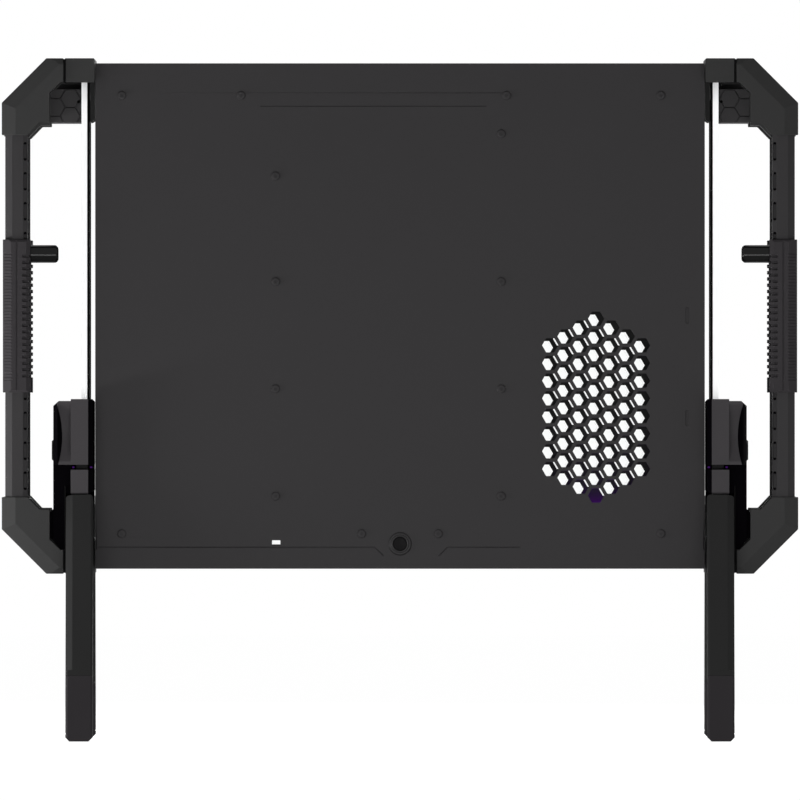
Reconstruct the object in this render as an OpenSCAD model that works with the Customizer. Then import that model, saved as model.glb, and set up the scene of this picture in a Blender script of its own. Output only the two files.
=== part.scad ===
// Open-frame mini-tower computer case: a flat steel body with a honeycomb vent,
// carried between two pairs of handle frames on four splayed folding legs.
// Millimetres. The floor is Z = 0, the rear cover faces -Y, and X runs across the case.

/* [Body] */
// Width of the rear cover
body_w = 445; // [438:1:470]
// Height of the rear cover
body_h = 369; // [366:1:390]
// Depth from the rear cover to the face of the front glass
body_d = 170; // [166:1:200]
// Height of the body's lower edge above the floor
body_lift = 125.5; // [118:0.5:150]
// Thickness of the steel sheet
sheet = 1.5; // [1.2:0.1:2]
// Depth of the folded edge of the rear cover
cover_fold = 18; // [12:1:19]
// Height of the folded front edge of the top and bottom walls
wall_fold = 15.5; // [15:0.5:17]
// Depth of the cable space between the cover and the board tray
cable_space = 20; // [18:1:24]

/* [Honeycomb vent] */
// Width of one hexagonal hole across its flats
vent_hole = 10.3; // [7:0.1:11.4]
// Width of one hole of the tray behind the vent across its flats
tray_hole = 9.6; // [6:0.1:10.3]
// Height from one hole to the next in a column
vent_pitch = 12.9; // [12.7:0.1:13.1]
// Holes in the longest column
vent_rows = 11; // [9:1:11]
// Columns of holes
vent_cols = 7; // [5:2:7]
// Distance from the middle of the vent to the body's right side
vent_in = 79.3; // [77.5:0.1:84]
// Height of the middle of the vent above the body's lower edge
vent_up = 118; // [112:0.5:122]
// Sideways step of the tray's holes against the cover's
vent_shift_x = 3.5; // [0:0.1:4]
// Downward step of the tray's holes against the cover's
vent_shift_z = 1.7; // [0:0.1:3]

/* [Side frames] */
// Width of the channel bar between the body and a corner bracket
bar_w = 21.9; // [21.9:0.1:26]
// Height of the channel bar and of the bracket's short arm
bar_h = 17.5; // [15:0.5:20]
// Sideways reach of a corner bracket
bracket_w = 45; // [43:0.5:55]
// Height of a corner bracket
bracket_h = 56; // [54:0.5:64]
// Depth of a corner bracket
bracket_d = 30; // [28:0.5:34]
// Size of the slanted outer corner of a bracket
bracket_chamfer = 32.5; // [24:0.5:34]
// Width of the bevel along the outer edge of a bracket
bracket_bevel = 10; // [6:0.5:11]
// Width of a handle rail
rail_w = 16.5; // [15:0.5:17]
// Depth of a handle rail
rail_d = 24; // [22:0.5:26]
// Length of a rail's socket in a bracket
rail_socket = 12; // [8:0.5:18]
// Distance from one rail slot to the next
rail_slot_pitch = 21.85; // [18:0.05:22]
// Length of a rail slot
rail_slot_l = 13.5; // [8:0.5:15]

/* [Grips] */
// Length of a hand grip
grip_l = 111.6; // [90:0.2:130]
// Depth of a hand grip
grip_d = 32; // [31:0.5:36]
// Number of teeth on the inner edge of a grip
grip_teeth = 21; // [12:1:24]
// Distance from one tooth to the next
tooth_pitch = 4.6; // [4:0.1:4.8]
// Diameter of the hook peg
peg_d = 13; // [10:0.5:16]
// Length of the hook peg
peg_l = 20.5; // [12:0.5:22]

/* [Side panes] */
// Thickness of a side pane
pane_t = 4.2; // [3:0.1:4.4]
// Space between the body and the pane's dark border
pane_gap = 4.2; // [4:0.1:6]
// Thickness of the dark border on the pane
border_t = 1.8; // [1:0.1:1.8]
// Width of the dark border
border_w = 12; // [8:0.5:20]

/* [Legs] */
// Splay of a leg away from upright
splay = 16; // [12:0.5:16]
// Height of the leg pivots above the floor
pivot_z = 212; // [208:0.5:216]
// Width of a leg
leg_w = 19.9; // [18:0.1:19.9]
// Thickness of a leg, front to rear
leg_t = 26; // [22:0.5:27]
// Height of a foot cap's outer face
foot_h = 48; // [30:1:60]
// Diameter of the pivot pin
pin_d = 8; // [6:0.5:8]
// Thickness of the leg's tongue in its hub
tongue_w = 8.5; // [7:0.1:8.8]

/* [Front glass] */
// Thickness of the front glass
glass_t = 4; // [3:0.5:5]
// Space between the walls' front edge and the glass
glass_gap = 8; // [6:0.5:12]
// Diameter of a glass cap
cap_d = 13; // [11:0.5:16]

/* [Power button] */
// Diameter of the button's ring
ring_d = 17.2; // [15:0.1:20]
// Diameter of the button
button_d = 9.8; // [8:0.1:10]
// Travel of the button
button_travel = 1.5; // [1:0.1:2]

/* [Hidden] */
$fn = 48;
e = 1;           // overshoot of a cut past the face that it opens
seat = 0.2;      // clearance between seated pieces
run = 0.3;       // clearance beside a moving piece
thread = 0.02;   // clearance of a screw's thread

// Heights and half widths of the body
half_w = body_w / 2;
body_top = body_lift + body_h;
cover_y = -body_d / 2;
wall_x = half_w - sheet - seat;
wall_y0 = cover_y + sheet;
wall_y1 = body_d / 2 - glass_t - glass_gap;
wall_top = body_top - sheet - seat;
wall_bottom = body_lift + sheet + seat;
tray_y = wall_y0 + cable_space;
tray_face = tray_y + sheet;

// Screws that hold the cover: two rows along its edges and two columns between them
screw_top = body_top - 23.5;
screw_bottom = body_lift + 25.6;
screw_left = -half_w + 131.7;
screw_right = half_w - 148.6;
COVER_SCREWS = [
    [-half_w + 19.4, screw_top], [screw_left - 25.3, screw_top],
    [screw_right + 4, screw_top], [half_w - 32, screw_top],
    [screw_right, screw_top - 28], [screw_left, screw_top - 58.8],
    for (x = [screw_left, screw_right], k = [0, 1, 2]) [x, body_lift + 53 + 78.3 * k],
    [-half_w + 19.4, screw_bottom], [-28, screw_bottom],
    [28, screw_bottom], [half_w - 32, screw_bottom]];
screw_r = 1.5;
screw_head_r = 3.3;
screw_head_h = 1.7;

// Board place: a 244 mm square board hangs from its socket edge at the top
board = 244;
board_x = -half_w + 7.5;
board_top = wall_top - sheet - 2.5;
board_cols = [10.16, 10.16 + 157.48, 10.16 + 203.2];
board_rows = [16.51, 16.51 + 154.94, 16.51 + 227.33];
standoff_h = 6.35;
socket_cut = [158.75, 44.45];
socket_y = tray_face + 3.4;
slot_pitch = 20.32;
slot_x = board_x + 171;
slot_n = 4;
slot_cut = [12.1, 100];
slot_y = tray_face + 12;
slot_plate = [18.4, 120, 0.9];

// Supply bay behind the vent: the supply's fan faces the tray
supply = [150, 86];
vent_x = half_w - vent_in;
vent_z = body_lift + vent_up;
supply_x0 = vent_x - supply.x / 2 - 1;
supply_z = vent_z - supply.x / 2;
drive = [112, 76];
drive_x0 = supply_x0 - 15.2 - drive.x;

// Side frame stack, outwards from the body
bar_x = half_w + 0.4;
joint_gap = 0.8;   // between a bar's end and a bracket's outer shell
bracket_x = bar_x + bar_w + joint_gap;
frame_x = bracket_x + bracket_w;
frame_over = 3.6;
frame_top = body_top + frame_over;
frame_bottom = body_lift - frame_over;
frame_mid = (frame_top + frame_bottom) / 2;
frame_y = body_d / 2;
pane_x = half_w + pane_gap + border_t;
pane_y = frame_y - bracket_d / 2 - 8;
pane_groove = 4;
pane_z0 = frame_bottom + bar_h - pane_groove + seat;
pane_z1 = frame_top - bar_h + pane_groove - seat;
top_bar_y = frame_y + bracket_d / 2 - 3;
bottom_bar_y = pane_y + 3;
tie_y = pane_y - 4;
top_rib = 28.8;
bottom_rib = 9.5;
upper_lip = 2;
lower_lip = 0.7;
rail_x1 = frame_x - 2.5;
rail_x0 = rail_x1 - rail_w;
grip_x1 = rail_x1 + 1.7;
grip_x0 = rail_x0 - 1.9;
arm_w = frame_x - rail_x0;

// Hubs and legs
pivot_y = frame_y - 5;
leg_x0 = half_w + 1.4;
leg_x1 = leg_x0 + leg_w;
hub_x0 = leg_x0 + 0.2;
hub_block_w = 16.1;
hub_x1 = hub_x0 + hub_block_w;
cheek_x1 = hub_x1 + 12.8;
post_x0 = leg_x1 + 0.7;
hub_y0 = pivot_y - 15;
hub_y1 = pivot_y + 23;
hub_bottom = pivot_z - 31.5;
hub_top = pivot_z + 37.4;
tongue_r = 9;
tongue_x0 = hub_x0 + (hub_block_w - tongue_w) / 2;
leg_head = 37.2;
leg_l = pivot_z / cos(splay);
foot_top = leg_l - (foot_h - leg_t / 2 * sin(splay)) / cos(splay);
spigot = [12, 16, 30];

button_z = body_lift + 18.2;
button_l = 8;

// Placing and drawing helpers

module plate_y(y0, y1) {
    translate([0, y1, 0]) rotate([90, 0, 0]) linear_extrude(y1 - y0) children();
}

module plate_x(x0, x1) {
    translate([x0, 0, 0]) rotate([90, 0, 90]) linear_extrude(x1 - x0) children();
}

module box(low, high) {
    translate(low) cube(high - low);
}

// Turns a shape drawn at the rear right into the other three corners
module corner(side, end) {
    mirror([side < 0 ? 1 : 0, 0, 0]) mirror([0, end > 0 ? 1 : 0, 0]) children();
}

// Turns a shape drawn at the frame's top into the one at its bottom
module flip_down() {
    translate([0, 0, 2 * frame_mid]) mirror([0, 0, 1]) children();
}

module obround(l, w) {
    square([l - w, w], center = true);
    for (s = [-1, 1]) translate([s * (l - w) / 2, 0]) circle(d = w);
}

module round_square(w, h, r) {
    square([w - 2 * r, h], center = true);
    square([w, h - 2 * r], center = true);
    for (sx = [-1, 1], sz = [-1, 1])
        translate([sx * (w / 2 - r), sz * (h / 2 - r)]) circle(r = r);
}

// Cuts the edge from p to q, with the body on its right, at the rear face y
module bevel(p, q, w, d, y) {
    run_on = 2 * w;
    translate([p.x, y, p.y]) rotate([0, -atan2(q.y - p.y, q.x - p.x), 0])
        translate([-run_on, 0, 0]) rotate([90, 0, 90])
            linear_extrude(norm(q - p) + 2 * run_on)
                polygon([[-e, -w - e * w / d], [d + e * d / w, e], [-e, e]]);
}

// Steel body

// Hexagonal holes in columns that get shorter away from the middle one
module vent_holes(hole, skip_last = false) {
    for (c = [0 : vent_cols - 1]) {
        from_middle = abs(c - (vent_cols - 1) / 2);
        rows = vent_rows - from_middle;
        for (r = [0 : rows - 1])
            if (!(skip_last && from_middle == 0 && r == 0))
                translate([(c - (vent_cols - 1) / 2) * vent_pitch * sqrt(3) / 2,
                           (r - (rows - 1) / 2) * vent_pitch])
                    circle(d = hole * 2 / sqrt(3), $fn = 6);
    }
}

module rear_cover() {
    crease_z = body_lift + 15.7;
    color([0.2, 0.2, 0.2]) difference() {
        box([-half_w, cover_y, body_lift], [half_w, cover_y + cover_fold, body_top]);
        box([-half_w + sheet, cover_y + sheet, body_lift + sheet],
            [half_w - sheet, cover_y + cover_fold + e, body_top - sheet]);
        plate_y(cover_y - e, cover_y + sheet + e) {
            translate([vent_x, vent_z]) vent_holes(vent_hole);
            for (p = COVER_SCREWS) translate(p) circle(r = screw_r + seat);
            translate([0, button_z]) circle(d = button_d + 2.8);
            translate([screw_left + 0.4, body_lift + 19]) square([6.1, 3.6], center = true);
        }
        // Pressed marks beside the vent
        plate_y(cover_y - e, cover_y + 0.7)
            for (up = [110, 185]) translate([half_w - 12.7, body_lift + up])
                rotate(90) obround(11.7, 2.4);
        // Thin grooves near the top and bottom edges
        for (g = [[-101.7, 62.8, body_top - 31.1], [-half_w + 2, -18.3, crease_z],
                  [34.7, 87.6, crease_z]])
            box([g[0], cover_y - e, g[2] - 0.4], [g[1], cover_y + 0.5, g[2] + 0.4]);
        // The bottom crease turns down on both sides of the button
        for (s = [-1, 1]) translate([s < 0 ? -18.3 : 34.7, cover_y, crease_z])
            rotate([0, s < 0 ? 45 : 135, 0]) box([0, -e, -0.4], [9, 0.5, 0.4]);
        // Slanted steps low on both side edges, no deeper than the sheet
        for (s = [0, 1]) mirror([s, 0, 0]) plate_y(cover_y - e, cover_y + sheet)
            polygon([[half_w - 1.2, crease_z - 1.5], [half_w + e, crease_z - 1.5],
                     [half_w + e, crease_z + 34], [half_w, crease_z + 34]]);
    }
}

// Dome-headed screws, each with its shank in a spacer
module cover_screws() {
    shank = 7;
    dome_r = (screw_head_r * screw_head_r + screw_head_h * screw_head_h) / (2 * screw_head_h);
    color([0.16, 0.16, 0.17]) for (p = COVER_SCREWS) translate([p.x, cover_y, p.y]) {
        rotate([90, 0, 0]) intersection() {
            cylinder(r = screw_head_r, h = screw_head_h);
            translate([0, 0, screw_head_h - dome_r]) sphere(r = dome_r);
        }
        rotate([-90, 0, 0]) cylinder(r = screw_r - thread, h = shank);
    }
}

module cover_spacers() {
    color([0.7, 0.6, 0.35]) for (p = COVER_SCREWS) translate([p.x, tray_y, p.y])
        rotate([90, 0, 0]) difference() {
            cylinder(r = 3.5, h = cable_space, $fn = 6);
            translate([0, 0, cable_space - 9]) cylinder(r = screw_r, h = 9 + e);
        }
}

module board_tray() {
    edge = 10;
    cable_slot = [62, 20];
    color([0.15, 0.15, 0.15]) difference() {
        union() {
            box([-wall_x, tray_y, wall_bottom + sheet], [wall_x, tray_face, wall_top - sheet]);
            for (s = [-1, 1]) mirror([s < 0 ? 1 : 0, 0, 0])
                box([wall_x - sheet, tray_y, wall_bottom + sheet],
                    [wall_x, tray_face + edge, wall_top - sheet]);
        }
        plate_y(tray_y - e, tray_face + e) {
            translate([vent_x - vent_shift_x, vent_z - vent_shift_z]) vent_holes(tray_hole, true);
            // Opening behind the processor, and cable slots round the board
            translate([board_x + 65, board_top - 104]) round_square(80, 106, 6);
            for (x = [45, 175]) translate([board_x + x, board_top - board - 16])
                obround(cable_slot.x, cable_slot.y);
            for (z = [60, 150]) translate([board_x + board + 20, board_top - z])
                rotate(90) obround(cable_slot.x, cable_slot.y);
            translate([screw_left + 0.4 - vent_shift_x, body_lift + 19]) obround(16, 7);
        }
    }
}

module board_standoffs() {
    color([0.72, 0.6, 0.32]) for (x = board_cols, z = board_rows)
        translate([board_x + x, tray_face, board_top - z]) rotate([-90, 0, 0]) difference() {
            cylinder(r = 3.1, h = standoff_h, $fn = 6);
            translate([0, 0, -e]) cylinder(r = 1.5, h = standoff_h + 2 * e);
        }
}

// A wall of the body lying flat with its outer face at z = 0 and its fold hanging down
module wall_sheet() {
    box([-wall_x, wall_y0, -sheet], [wall_x, wall_y1, 0]);
    box([-wall_x, wall_y1 - sheet, -wall_fold], [wall_x, wall_y1, 0]);
}

module post_places() {
    for (s = [-1, 1], z = [wall_top - wall_fold / 2, wall_bottom + wall_fold / 2])
        translate([s * (half_w - 14), 0, z]) rotate([-90, 0, 0]) children();
}

module top_wall() {
    color([0.17, 0.17, 0.17]) difference() {
        translate([0, 0, wall_top]) wall_sheet();
        box([board_x, socket_y, wall_top - sheet - e],
            [board_x + socket_cut.x, socket_y + socket_cut.y, wall_top + e]);
        for (k = [0 : slot_n - 1]) {
            translate([slot_x + k * slot_pitch, slot_y + slot_cut.y / 2, wall_top - sheet - e])
                linear_extrude(sheet + 2 * e) square(slot_cut, center = true);
            translate([slot_x + k * slot_pitch, slot_y + slot_cut.y + 8, wall_top - sheet - e])
                cylinder(r = 1.7, h = sheet + 2 * e);
        }
        // Slots that let warm air out over the supply
        for (k = [0 : 7]) translate([vent_x - 49 + 14 * k, 0, wall_top - sheet - e])
            linear_extrude(sheet + 2 * e) rotate(90) obround(80, 6);
        post_places() translate([0, 0, wall_y1 - sheet - e]) cylinder(r = 3.2, h = sheet + 2 * e);
    }
}

module bottom_wall() {
    fan_x = -half_w + 112.5;
    fan_y = tray_face + 66;
    fan_r = 57;
    fan_hole = 52.5;
    spoke = 5;
    color([0.17, 0.17, 0.17]) difference() {
        translate([0, 0, wall_bottom]) mirror([0, 0, 1]) wall_sheet();
        translate([fan_x, fan_y, wall_bottom - e]) linear_extrude(sheet + 2 * e) {
            // Three rings of openings between spokes
            for (k = [1 : 3]) difference() {
                circle(r = fan_r * k / 3);
                circle(r = fan_r * (k - 1) / 3 + spoke);
                for (a = [0, 60, 120]) rotate(a) square([2 * fan_r + e, spoke], center = true);
            }
            for (sx = [-1, 1], sy = [-1, 1]) translate([sx, sy] * fan_hole) circle(r = 2.2);
        }
        post_places() translate([0, 0, wall_y1 - sheet - e]) cylinder(r = 3.2, h = sheet + 2 * e);
    }
}

module slot_covers() {
    color([0.22, 0.22, 0.23]) for (k = [0 : slot_n - 1])
        translate([slot_x + k * slot_pitch, slot_y - 6, wall_top - sheet - slot_plate.z])
            difference() {
                translate([-slot_plate.x / 2, 0, 0]) cube(slot_plate);
                translate([0, slot_cut.y + 14, -e]) cylinder(r = 1.7, h = slot_plate.z + 2 * e);
            }
}

module slot_screws() {
    color([0.3, 0.3, 0.31]) for (k = [0 : slot_n - 1])
        translate([slot_x + k * slot_pitch, slot_y + slot_cut.y + 8, wall_top]) {
            cylinder(r = 3.4, h = 2, $fn = 6);
            mirror([0, 0, 1]) cylinder(r = 1.6, h = 6);
        }
}

// Shelf and hangers that carry the power supply
module supply_bracket() {
    x0 = supply_x0;
    x1 = supply_x0 + supply.x;
    y1 = tray_face + supply.y + 2;
    color([0.18, 0.18, 0.18]) difference() {
        union() {
            box([x0, tray_face, supply_z - sheet], [x1, y1, supply_z]);
            box([x0, tray_face, supply_z], [x1, tray_face + sheet, supply_z + 6]);
            for (x = [x0, x1 - sheet])
                box([x, tray_face, wall_bottom + sheet], [x + sheet, y1, supply_z]);
        }
        // Opening for the supply's inlet and switch, with four screw holes
        box([x0 + 16, tray_face + 14, supply_z - sheet - e], [x1 - 16, y1 - 14, supply_z + e]);
        for (p = [[6, 8], [6, 72], [144, 8], [144, 80]])
            translate([x0 + p.x, tray_face + p.y, supply_z - sheet - e])
                cylinder(r = 2, h = sheet + 2 * e);
        plate_x(x0 - e, x1 + e) translate([tray_face + supply.y / 2, (supply_z + body_lift) / 2])
            obround(50, 18);
    }
}

// Flanged plate for a flat drive
module drive_bracket() {
    w = drive.x;
    h = drive.y;
    x0 = drive_x0;
    z0 = wall_bottom + sheet;
    lift = 12;
    color([0.18, 0.18, 0.18]) difference() {
        union() {
            box([x0, tray_face + lift, z0], [x0 + w, tray_face + lift + sheet, z0 + h]);
            for (x = [x0, x0 + w - sheet])
                box([x, tray_face, z0], [x + sheet, tray_face + lift, z0 + h]);
        }
        plate_y(tray_face - e, tray_face + lift + sheet + e) {
            for (sx = [-1, 1], sz = [-1, 1])
                translate([x0 + w / 2 + sx * 38.3, z0 + h / 2 + sz * 30.85]) circle(r = 1.6);
            translate([x0 + w / 2, z0 + h / 2]) round_square(50, 36, 5);
        }
    }
}

module vent_light() {
    color([0.35, 0.1, 0.8])
        box([vent_x - 33, tray_y - 6, vent_z - 78], [vent_x + 33, tray_y, vent_z - 73]);
}

module front_glass() {
    inset = 2;
    color([0.75, 0.8, 0.82, 0.35]) difference() {
        plate_y(body_d / 2 - glass_t, body_d / 2)
            translate([0, body_lift + body_h / 2])
                round_square(body_w - 2 * inset, body_h - 2 * inset, 6);
        post_places() cylinder(r = 3.4, h = body_d);
    }
}

module glass_posts() {
    color([0.2, 0.2, 0.21]) post_places() translate([0, 0, wall_y1]) difference() {
        cylinder(r = 5.5, h = glass_gap);
        translate([0, 0, -e]) cylinder(r = 3 + thread, h = glass_gap + 2 * e);
    }
}

module glass_caps() {
    shank = glass_t + glass_gap + sheet;
    color([0.1, 0.1, 0.11]) post_places() translate([0, 0, body_d / 2]) {
        rotate_extrude() polygon([[0, 0], [cap_d / 2, 0], [cap_d / 2, 3], [cap_d / 2 - 1.5, 4.5],
                                  [2.5, 4.5], [2.5, 3], [0, 3]]);
        translate([0, 0, -shank]) cylinder(r = 3, h = shank);
    }
}

// Power button: a stepped ring, and the cap that slides in it

module button_ring() {
    bore_r = button_d / 2 + 0.15;
    ring_r = ring_d / 2;
    barrel_r = button_d / 2 + 1.3;
    barrel_l = button_l + button_travel + 3;
    step = 1.1;
    color([0.12, 0.12, 0.13]) translate([0, cover_y, button_z]) rotate([90, 0, 0])
        rotate_extrude() {
            polygon([[bore_r, 0], [ring_r, 0], [ring_r - step, step], [ring_r - 1.8, step],
                     [ring_r - 2.5, 1.8], [bore_r + 0.3, 1.8], [bore_r, 1.5]]);
            translate([bore_r, -barrel_l - 0.5]) square([barrel_r - bore_r, barrel_l + 0.5]);
            translate([0, -barrel_l - 1.5]) square([barrel_r, 1.5]);
        }
}

module power_button() {
    r = button_d / 2;
    color([0.08, 0.08, 0.09]) translate([0, cover_y, button_z]) rotate([90, 0, 0])
        rotate_extrude() difference() {
            translate([0, -button_l]) square([r, button_l + 0.6]);
            translate([0, r + 6.9]) circle(r = r + 6.5, $fn = 96);
        }
}

// Side frames

// Bar that holds a pane's edge in a channel and joins the body to the brackets
module bar(half_y, rib_h) {
    rib_w = half_w + pane_gap - bar_x - run;
    rib_y0 = pane_y - 22;
    rib_y1 = pane_y - 1;
    color([0.13, 0.13, 0.14]) difference() {
        union() {
            plate_y(-half_y, half_y)
                translate([bar_x + bar_w / 2, frame_top - bar_h / 2])
                    round_square(bar_w, bar_h, 1);
            // Ribs that keep the pane off the body
            for (s = [-1, 1]) mirror([0, s > 0 ? 1 : 0, 0])
                plate_y(-rib_y1, -rib_y0) translate([bar_x, frame_top - bar_h - rib_h]) {
                    translate([0, rib_w]) square([rib_w, rib_h - rib_w + 2]);
                    intersection() {
                        translate([rib_w, rib_w]) circle(r = rib_w);
                        square(rib_w);
                    }
                }
        }
        box([pane_x - border_t - seat, -pane_y - seat, frame_top - bar_h - e],
            [pane_x + pane_t + seat, pane_y + seat, frame_top - bar_h + pane_groove]);
    }
}

module side_pane() {
    color([0.8, 0.85, 0.87, 0.35])
        box([pane_x, -pane_y, pane_z0], [pane_x + pane_t, pane_y, pane_z1]);
}

module pane_border() {
    color([0.05, 0.05, 0.05]) difference() {
        box([pane_x - border_t, -pane_y, pane_z0], [pane_x, pane_y, pane_z1]);
        box([pane_x - border_t - e, -pane_y + border_w, pane_z0 + border_w + 4],
            [pane_x + e, pane_y - border_w, pane_z1 - border_w - 4]);
    }
}

// Beam between the front and rear frames, with a honeycomb cut into both ends
module honeycomb_tie() {
    x0 = pane_x + pane_t + 0.5;
    x1 = bracket_x + 10 - seat;
    z0 = frame_top - bracket_h + 9.2;
    z1 = frame_top - bar_h - seat;
    groove = 0.9;
    cut = 1.6;
    color([0.1, 0.1, 0.11]) difference() {
        plate_y(-tie_y, tie_y) polygon([[x0, z0], [x1, z0], [x1, z1 - 7.8], [x1 - 8, z1], [x0, z1]]);
        for (s = [-1, 1]) mirror([0, s > 0 ? 1 : 0, 0]) {
            plate_y(-tie_y - e, -tie_y + cut) difference() {
                translate([x0, z0]) square([x1 - x0, z1 - z0 - 5]);
                for (c = [-1 : 1], r = [-2 : 1])
                    translate([x0 + 7.7 + c * vent_pitch * sqrt(3) / 2,
                               z0 + 17.8 + (r + abs(c % 2) / 2) * vent_pitch])
                        circle(d = (vent_pitch - groove) * 2 / sqrt(3), $fn = 6);
            }
            translate([x0 + 1.5, -tie_y + 6, z0 + 15.5]) rotate([90, 0, 0])
                cylinder(r = 1.2, h = 8);
            box([x0 - e, -tie_y - e, z1 - 4.6], [x1 + e, -tie_y + 12, z1 + e]);
        }
    }
}

// Screws that close the core of each corner bracket
module frame_screws() {
    color([0.2, 0.2, 0.21]) for (side = [-1, 1], end = [-1, 1], down = [false, true])
        corner(side, end) {
            if (down) flip_down() frame_screw();
            else frame_screw();
        }
}

module frame_screw() {
    translate([frame_x - 24, -tie_y, frame_top - 32]) rotate([-90, 0, 0]) difference() {
        cylinder(r = 3.5, h = 2.2);
        translate([0, 0, 1]) cylinder(r = 1.7, h = 2, $fn = 6);
    }
}

// Corner bracket: an angled casting with a broad bevel round its outer edge
module bracket(lip) {
    inner_step = 2;
    c = bracket_chamfer;
    y0 = -frame_y - bracket_d / 2;
    y1 = y0 + bracket_d;
    waist = bracket_w - 10;
    function at(a, b) = [frame_x - a, frame_top - b];
    top_in = at(bracket_w, 0);
    top_out = at(c, 0);
    side_up = at(0, c);
    side_down = at(0, bracket_h);
    color([0.2, 0.2, 0.21]) difference() {
        union() {
            plate_y(y0, y1) polygon([
                top_out, top_in, at(bracket_w, bar_h), at(bracket_w - inner_step, bar_h),
                at(waist, bar_h + 7.5), at(waist, bracket_h - 9),
                at(arm_w + 8.5, bracket_h - 9), at(arm_w, bracket_h), side_down, side_up]);
            // Core that meets the bar and the tie beam, with a lip round the inner corner
            plate_y(y0 + 8, -tie_y) polygon([
                at(c + 4, 6), at(bracket_w + joint_gap, 6), at(bracket_w + joint_gap, bar_h),
                at(bracket_w - inner_step, bar_h), at(waist, bar_h + 7.5),
                at(waist, bracket_h - 9 + lip), at(arm_w + 8.5 + lip / 3, bracket_h - 9 + lip),
                at(arm_w + seat, bracket_h + lip + 0.2), at(arm_w + seat, bracket_h - 12),
                at(6, bracket_h - 12), at(6, c + 3)]);
        }
        bevel(top_in, top_out, 4.4, 4, y0);
        bevel(top_out, side_up, bracket_bevel, 5, y0);
        bevel(side_up, side_down, bracket_bevel, 5, y0);
        // Socket for the rail's end
        translate([0, 0, frame_top - bracket_h - e]) linear_extrude(rail_socket + e)
            rail_profile(seat);
    }
}

// Section of a handle rail, seen from above
module rail_profile(grow = 0) {
    x0 = rail_x0 - grow;
    x1 = rail_x1 + grow;
    y0 = -frame_y - rail_d / 2 - grow;
    y1 = -frame_y + rail_d / 2 + grow;
    polygon([[x0, y0 + 2], [x0 + 3.6, y0], [x1 - 5, y0], [x1, y0 + 4],
             [x1, y1 - 4], [x1 - 5, y1], [x0 + 3.6, y1], [x0, y1 - 2]]);
}

module rail() {
    z0 = frame_bottom + bracket_h - rail_socket + seat;
    z1 = frame_top - bracket_h + rail_socket - seat;
    slot_w = 2.2;
    slot_deep = 3;
    slots = 12;
    color([0.22, 0.22, 0.23]) difference() {
        translate([0, 0, z0]) linear_extrude(z1 - z0) rail_profile();
        for (k = [0 : slots - 1], s = [-1, 1])
            translate([rail_x0 + 1.9, -frame_y + s * rail_d / 2,
                       frame_mid + (k - (slots - 1) / 2) * rail_slot_pitch])
                rotate([90, 0, 0]) translate([0, 0, -slot_deep]) rotate(90)
                    linear_extrude(2 * slot_deep) obround(rail_slot_l, slot_w);
    }
}

module grip_profile() {
    y0 = -frame_y - grip_d / 2;
    y1 = y0 + grip_d;
    polygon([[grip_x0, y0 + 3], [grip_x0 + 3, y0], [grip_x1 - 6, y0], [grip_x1, y0 + 5],
             [grip_x1, y1 - 5], [grip_x1 - 6, y1], [grip_x0 + 3, y1], [grip_x0, y1 - 3]]);
}

// Hand grip: a sleeve round the rail with a row of teeth on its inner edge
module grip() {
    y0 = -frame_y - grip_d / 2;
    z0 = frame_mid - grip_l / 2;
    tooth_gap = tooth_pitch * 0.45;
    teeth_z = frame_mid - (grip_teeth - 1) * tooth_pitch / 2;
    rib_pitch = tooth_pitch / 2;
    color([0.21, 0.21, 0.22]) difference() {
        translate([0, 0, z0]) linear_extrude(grip_l) grip_profile();
        translate([0, 0, z0 - e]) linear_extrude(grip_l + 2 * e) rail_profile();
        // Gaps between the teeth, cut from the rear, inner and front faces
        for (k = [0 : grip_teeth - 2])
            translate([0, 0, teeth_z + (k + 0.5) * tooth_pitch - tooth_gap / 2])
                linear_extrude(tooth_gap) difference() {
                    translate([grip_x0 - e, y0 - e]) square([e + 5.8, grip_d + 2 * e]);
                    translate([grip_x0 + 1.2, y0 + 2.6]) square([6, grip_d - 5.2]);
                }
        // Fine ribs across the outer bevels
        for (k = [0 : 2 * grip_teeth - 2], s = [-1, 1])
            translate([grip_x1 - 3, -frame_y + s * (grip_d / 2 - 2.5),
                       teeth_z + (k - 0.5) * rib_pitch])
                rotate([0, 0, -s * atan2(5, 6)]) translate([-4.6, s > 0 ? -0.5 : -e, 0])
                    cube([9.2, e + 0.5, rib_pitch * 0.4]);
        // Groove down the middle of the rear and front faces
        for (s = [-1, 1])
            translate([grip_x0 + 9.5, -frame_y + s * grip_d / 2 - 0.8, z0 - e])
                cube([1, 1.6, grip_l + 2 * e]);
        // Slanted ends
        for (end = [0, 1], s = [-1, 1])
            translate([0, -frame_y + s * grip_d / 2, z0 + end * grip_l])
                rotate([45, 0, 0]) cube([4 * frame_x, 2.4, 2.4], center = true);
    }
}

module peg() {
    r = peg_d / 2;
    round_r = 3;
    color([0.06, 0.06, 0.07])
        translate([grip_x0, -frame_y, frame_mid + grip_l / 2 - 10.5]) rotate([0, -90, 0])
            rotate_extrude() {
                square([r - round_r, peg_l]);
                square([r, peg_l - round_r]);
                translate([r - round_r, peg_l - round_r]) circle(r = round_r);
            }
}

// Hubs: each takes a leg's tongue between its walls and stands on the lower bracket

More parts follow.
